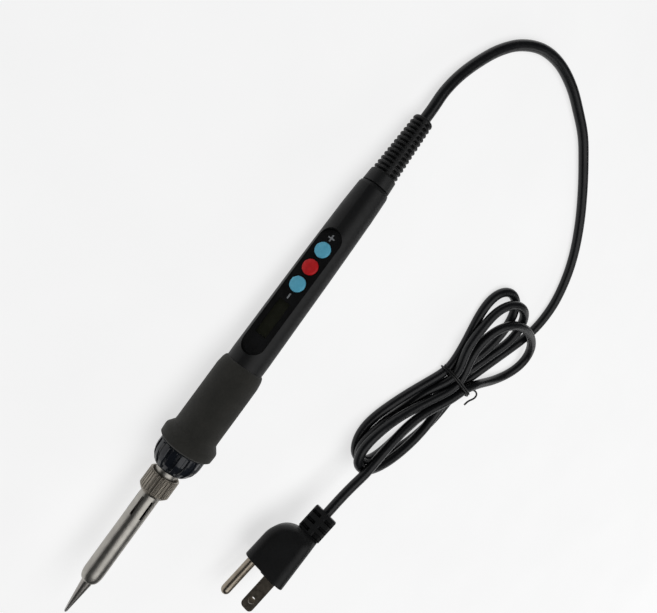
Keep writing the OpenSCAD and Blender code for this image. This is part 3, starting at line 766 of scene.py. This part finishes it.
def button(name, slot, phase):
    """A domed button with a slightly uneven rim, standing in its hole in the panel."""
    turned_back = PANEL_TURN.inverted()
    spots = np.array([turned_back @ v.co for v in nodes[name].data.vertices])
    low, high = spots.min(axis=0), spots.max(axis=0)
    foot, top = low[2], high[2]
    r = BUTTON_R
    outline = rounded([
        (0, foot, 0), (1.5 * mm, foot, 0.1 * mm), (1.5 * mm, foot + 0.3 * mm, 0),
        (r + 0.45 * mm, foot + 0.3 * mm, 0.1 * mm), (r + 0.45 * mm, foot + 1.2 * mm, 0.1 * mm),
        (r, foot + 1.2 * mm, 0), (r, top - 0.65 * mm, 0.3 * mm),
        (r - 0.35 * mm, top - 0.25 * mm, 0.4 * mm), (r * 0.6, top - 0.05 * mm, 1.5 * mm),
        (0, top, 0),
    ], closed=False)
    outline = dense(outline, 0.4 * mm, closed=False)
    sides = 72
    points = []
    for size, height in outline:
        rim = smoothstep(2.6 * mm, 3.1 * mm, size)
        rim *= smoothstep(top - 1.2 * mm, top - 0.5 * mm, height)
        for k in range(sides):
            angle = 2 * math.pi * k / sides
            wave = math.sin(11 * angle + phase) + math.sin(7 * angle)
            far = size + 0.035 * mm * rim * wave
            spot = Vector(((low[0] + high[0]) / 2, (low[1] + high[1]) / 2, height))
            spot += Vector((far * math.cos(angle), far * math.sin(angle), 0))
            points.append(PANEL_TURN @ spot)
    shape = piece(name + "_domed", points, skin(len(outline), sides), slot)
    stands_for(shape, name, slot, name)


button("button_plus", "key_blue", 1)
button("button_power", "key_red", 2)
button("button_minus", "key_blue", 3)

# ---- Plug ----

NECK_FROM = -25.5 * mm
NECK_END = -37.8 * mm
BODY_TOP = 16.1 * mm
BODY_LOW = -6.7 * mm
LOW_RISE = 2.2 * mm               # of the blade side, from the face to the neck
SHOULDER_R = 13.0 * mm
SHOULDER_X = -12.1 * mm
BODY_HALF_T = 11.0 * mm
NECK_MID = 1.2 * mm
NECK_HALF_W = 6.2 * mm
NECK_HALF_T = 5.0 * mm
POCKETS = (-35.0 * mm, -31.05 * mm, -27.1 * mm)
POCKET_DEEP = 2.1 * mm
CORNER_POINTS = 6
FACE_POINTS = 26                  # across each broad face


def plug_section(x):
    """(blade side, earth side, half thickness, corner radius) of the body at x."""
    if x < NECK_FROM:
        return NECK_MID - NECK_HALF_W, NECK_MID + NECK_HALF_W, NECK_HALF_T, 1.5 * mm
    high = BODY_TOP
    if x < SHOULDER_X:
        run = min(1, (SHOULDER_X - x) / SHOULDER_R)
        high = BODY_TOP - SHOULDER_R * (1 - math.sqrt(1 - run * run))
    low = BODY_LOW + LOW_RISE * x / NECK_FROM
    waist = max(0, (-19 * mm - x) / (6.5 * mm))
    thick = NECK_HALF_T + (BODY_HALF_T - NECK_HALF_T) * math.sqrt(1 - min(1, waist) ** 2)
    return low, max(high, 7 * mm), max(thick, NECK_HALF_T + 0.4 * mm), 4.6 * mm


def pocket(x, y):
    """Depth of the neck's pockets: two rows of three, with a web between the rows. The row of
    the blade side is open along its edge."""
    upper = y > NECK_MID
    deep = 0
    for at in POCKETS:
        half = 0.65 * mm if upper or at < POCKETS[-1] else 1.1 * mm
        deep = max(deep, 1 - smoothstep(half - 0.15 * mm, half + 0.15 * mm, abs(x - at)))
    low, high = (2.6 * mm, 6.7 * mm) if upper else (-9 * mm, -0.4 * mm)
    across = smoothstep(low - 0.2 * mm, low + 0.2 * mm, y)
    return POCKET_DEEP * deep * across * (1 - smoothstep(high - 0.2 * mm, high + 0.2 * mm, y))


def plug_stations():
    """(x, inset) from the front face, rounded at both ends, to the end of the neck."""
    edge = 0.6 * mm
    quarter = [math.radians(18 * k) for k in range(6)]
    out = [(-edge * (1 - math.cos(a)), edge * (1 - math.sin(a))) for a in quarter]
    out += [(x * mm, 0) for x in np.arange(-1.2, -18, -1.2)]
    out += [(x * mm, 0) for x in np.arange(-18, -37.1, -0.2)]
    out += [(NECK_END + edge * (1 - math.sin(a)), edge * (1 - math.cos(a))) for a in quarter]
    return out


def plug_ring(x, inset):
    low, high, thick, corner = plug_section(x)
    low, high, thick = low + inset, high - inset, thick - inset
    corner = min(corner, 0.45 * (high - low), 0.9 * thick) - inset
    flat = []
    for turn, (up, out) in enumerate([(1, 1), (-1, 1), (-1, -1), (1, -1)]):
        mid = Vector((high - corner if up > 0 else low + corner, out * (thick - corner)))
        for k in range(CORNER_POINTS):
            angle = math.pi / 2 * (turn + k / (CORNER_POINTS - 1))
            flat.append(mid + corner * Vector((math.cos(angle), math.sin(angle))))
        if up > 0 and out > 0:
            flat += [Vector((high - corner - (high - low - 2 * corner) * k / FACE_POINTS, thick))
                     for k in range(1, FACE_POINTS)]
        if up < 0 and out < 0:
            flat += [Vector((low + corner + (high - low - 2 * corner) * k / FACE_POINTS, -thick))
                     for k in range(1, FACE_POINTS)]
    ring = []
    for y, z in flat:
        cut = pocket(x, y) if x < NECK_FROM else 0
        z = math.copysign(max(abs(z) - cut, min(abs(z), cord_r + 0.3 * mm)), z)
        ring.append(PLUG @ Vector((x, y, z)))
    return ring


def face_pad():
    """Rings of the low raised pad that the two blades come out of."""
    edge = rounded([(-2.8 * mm, -9 * mm, 1 * mm), (5.6 * mm, -9 * mm, 1 * mm),
                    (5.6 * mm, 9 * mm, 1 * mm), (-2.8 * mm, 9 * mm, 1 * mm)])
    middle = Vector((1.4 * mm, 0))
    rings = []
    for x, inset in ((-0.5 * mm, 0), (0.45 * mm, 0), (0.56 * mm, 0.05 * mm), (0.6 * mm, 0.15 * mm)):
        for y, z in [p - (p - middle).normalized() * inset for p in edge]:
            rings.append(PLUG @ Vector((x, y, z)))
    return rings, len(edge)


def capped(rings, around, first=0):
    """Faces of a closed shell of rings."""
    rows = len(rings) // around
    last = first + (rows - 1) * around
    ends = [tuple(range(first, first + around)), tuple(reversed(range(last, last + around)))]
    return skin(rows, around, first) + ends


def make_plug():
    body = [point for x, inset in plug_stations() for point in plug_ring(x, inset)]
    around = 4 * CORNER_POINTS + 2 * (FACE_POINTS - 1)
    pad, pad_around = face_pad()
    faces = capped(body, around) + capped(pad, pad_around, len(body))
    shape = piece("plug_moulding", body + pad, faces, "plug_rubber", sharp=40)
    return stands_for(shape, "iron", "plug_rubber", "plug_body")


plug = make_plug()

# ---- Cord and twist tie ----


def tube(name, points, r, slot, sides=4):
    """A round tube along points, as a curve of one spline."""
    data = bpy.data.curves.new(name, "CURVE")
    data.dimensions = "3D"
    data.bevel_depth = r
    data.bevel_resolution = sides
    data.use_fill_caps = True
    spline = data.splines.new("POLY")
    spline.points.add(len(points) - 1)
    for at, point in zip(spline.points, points):
        at.co = (*point, 1)
    spline.use_smooth = True
    data.materials.append(materials[slot])
    shape = bpy.data.objects.new(name, data)
    bpy.context.scene.collection.objects.link(shape)
    return shape


cord = tube("mains_cord", route, cord_r, "cord_sheath", sides=6)
stands_for(cord, "iron", "cord_sheath", "cord_lead", "cord_hank", "cord_tail")

TIE_R = 0.5 * mm
TIE_LAPS = 1.5


def waist_strands():
    """(across, height) of each run of the cord where it passes through the waist."""
    rel = route - np.array(WAIST)
    along = rel @ np.array(along_waist)
    across = rel @ np.array(across_waist)
    found = []
    for i in range(len(route) - 1):
        if along[i] * along[i + 1] <= 0 and abs(across[i]) < 15 * mm:
            found.append((across[i], route[i, 2]))
    return found


def tie_loop(strands):
    """A line drawn tight round the runs of the cord, as (across, height) pairs."""
    reach = cord_r + TIE_R
    out = []
    for k in range(48):
        angle = 2 * math.pi * k / 48
        way = (math.cos(angle), math.sin(angle))
        far = max(a * way[0] + h * way[1] for a, h in strands)
        out.append((way, far + reach))
    corners = []
    for (w1, f1), (w2, f2) in zip(out, out[1:] + out[:1]):
        turn = w1[0] * w2[1] - w1[1] * w2[0]
        across = (f1 * w2[1] - f2 * w1[1]) / turn
        height = (f2 * w1[0] - f1 * w2[0]) / turn
        corners.append((across, max(height, TIE_R)))
    return corners


def make_tie():
    """A covered wire: a short start, the laps round the waist and a curled end."""
    loop = tie_loop(waist_strands())
    low = min(range(len(loop)), key=lambda k: loop[k][0])
    loop = loop[low:] + loop[:low]

    def place(along, across, height):
        return WAIST + along_waist * along + across_waist * across + Vector((0, 0, height))

    first = loop[0]
    start = [place(-1.2 * mm, first[0] - 1.6 * mm, first[1] + 2.2 * mm),
             place(-0.8 * mm, first[0] - 0.9 * mm, first[1] + 0.9 * mm)]
    slant = 1.6 * mm
    turns = []
    for lap in range(2):
        for k, (across, height) in enumerate(reversed(loop)):
            t = lap + k / len(loop)
            if t > TIE_LAPS:
                break
            turns.append(place(-0.5 * mm + slant * t / TIE_LAPS, across, height))
    last = turns[-1]
    curl = [(-2, 1.6, 0.6), (-4.4, 2.8, 1.8), (-6.3, 4.4, 2.6), (-6.9, 7.4, 2.5),
            (-6.4, 9.6, 2.3), (-4.5, 10.4, 2.2), (-0.5, 8.6, 2), (2.3, 8.6, 1.8)]
    end = [last + along_waist * a * mm + across_waist * b * mm + Vector((0, 0, h * mm))
           for a, b, h in curl]
    points = np.array([tuple(p) for p in start + turns + end])
    return tube("twist_tie_wire", smooth_route(points, 0.5 * mm, 4), TIE_R, "tie_wire", 3)


tie = make_tie()
stands_for(tie, "iron", "tie_wire", "twist_tie")

# ---- Floor, light and view ----

FLOOR_HALF = 6.0
FLOOR_DROP = 0.02 * mm             # below the surface the iron lies on
FLOOR_GLOW = 0.68                  # the floor's own light, which keeps it near white
WORLD_LIGHT = 0.04


def make_floor():
    half = FLOOR_HALF
    mesh = bpy.data.meshes.new("floor")
    mesh.from_pydata(
        [(-half, -half, 0), (half, -half, 0), (half, half, 0), (-half, half, 0)], [],
        [(0, 1, 2, 3)])
    paint = Paint("floor_paper", roughness=0.9, specular_ior_level=0.1)
    paint.colour(paint.noise(60 * mm, 3), (0.3, grey(0.40)), (0.7, grey(0.43)))
    paint.shader.inputs["Emission Color"].default_value = (1, 1, 1, 1)
    paint.shader.inputs["Emission Strength"].default_value = FLOOR_GLOW
    mesh.materials.append(paint.material)
    floor = bpy.data.objects.new("floor", mesh)
    floor.location.z = -FLOOR_DROP
    bpy.context.scene.collection.objects.link(floor)


def softbox(name, at, aim, size, power):
    """A rectangular lamp that faces the point aim."""
    data = bpy.data.lights.new(name, "AREA")
    data.shape = "RECTANGLE"
    data.size, data.size_y = size
    data.energy = power
    lamp = bpy.data.objects.new(name, data)
    way = Vector(aim) - Vector(at)
    lamp.matrix_world = Matrix.Translation(at) @ way.to_track_quat("-Z", "Y").to_matrix().to_4x4()
    bpy.context.scene.collection.objects.link(lamp)


make_floor()
softbox("key_overhead", (0.0, 0.10, 0.80), (-0.02, 0.05, 0), (1.2, 0.9), 5)
softbox("far_side", (-0.05, 0.85, 0.25), (-0.02, 0.03, 0), (0.9, 0.25), 1.2)
world = bpy.data.worlds.new("studio")
world.use_nodes = True
world.node_tree.nodes["Background"].inputs["Color"].default_value = (0.93, 0.96, 1, 1)
world.node_tree.nodes["Background"].inputs["Strength"].default_value = WORLD_LIGHT
bpy.context.scene.world = world
bpy.context.scene.view_settings.view_transform = "Standard"
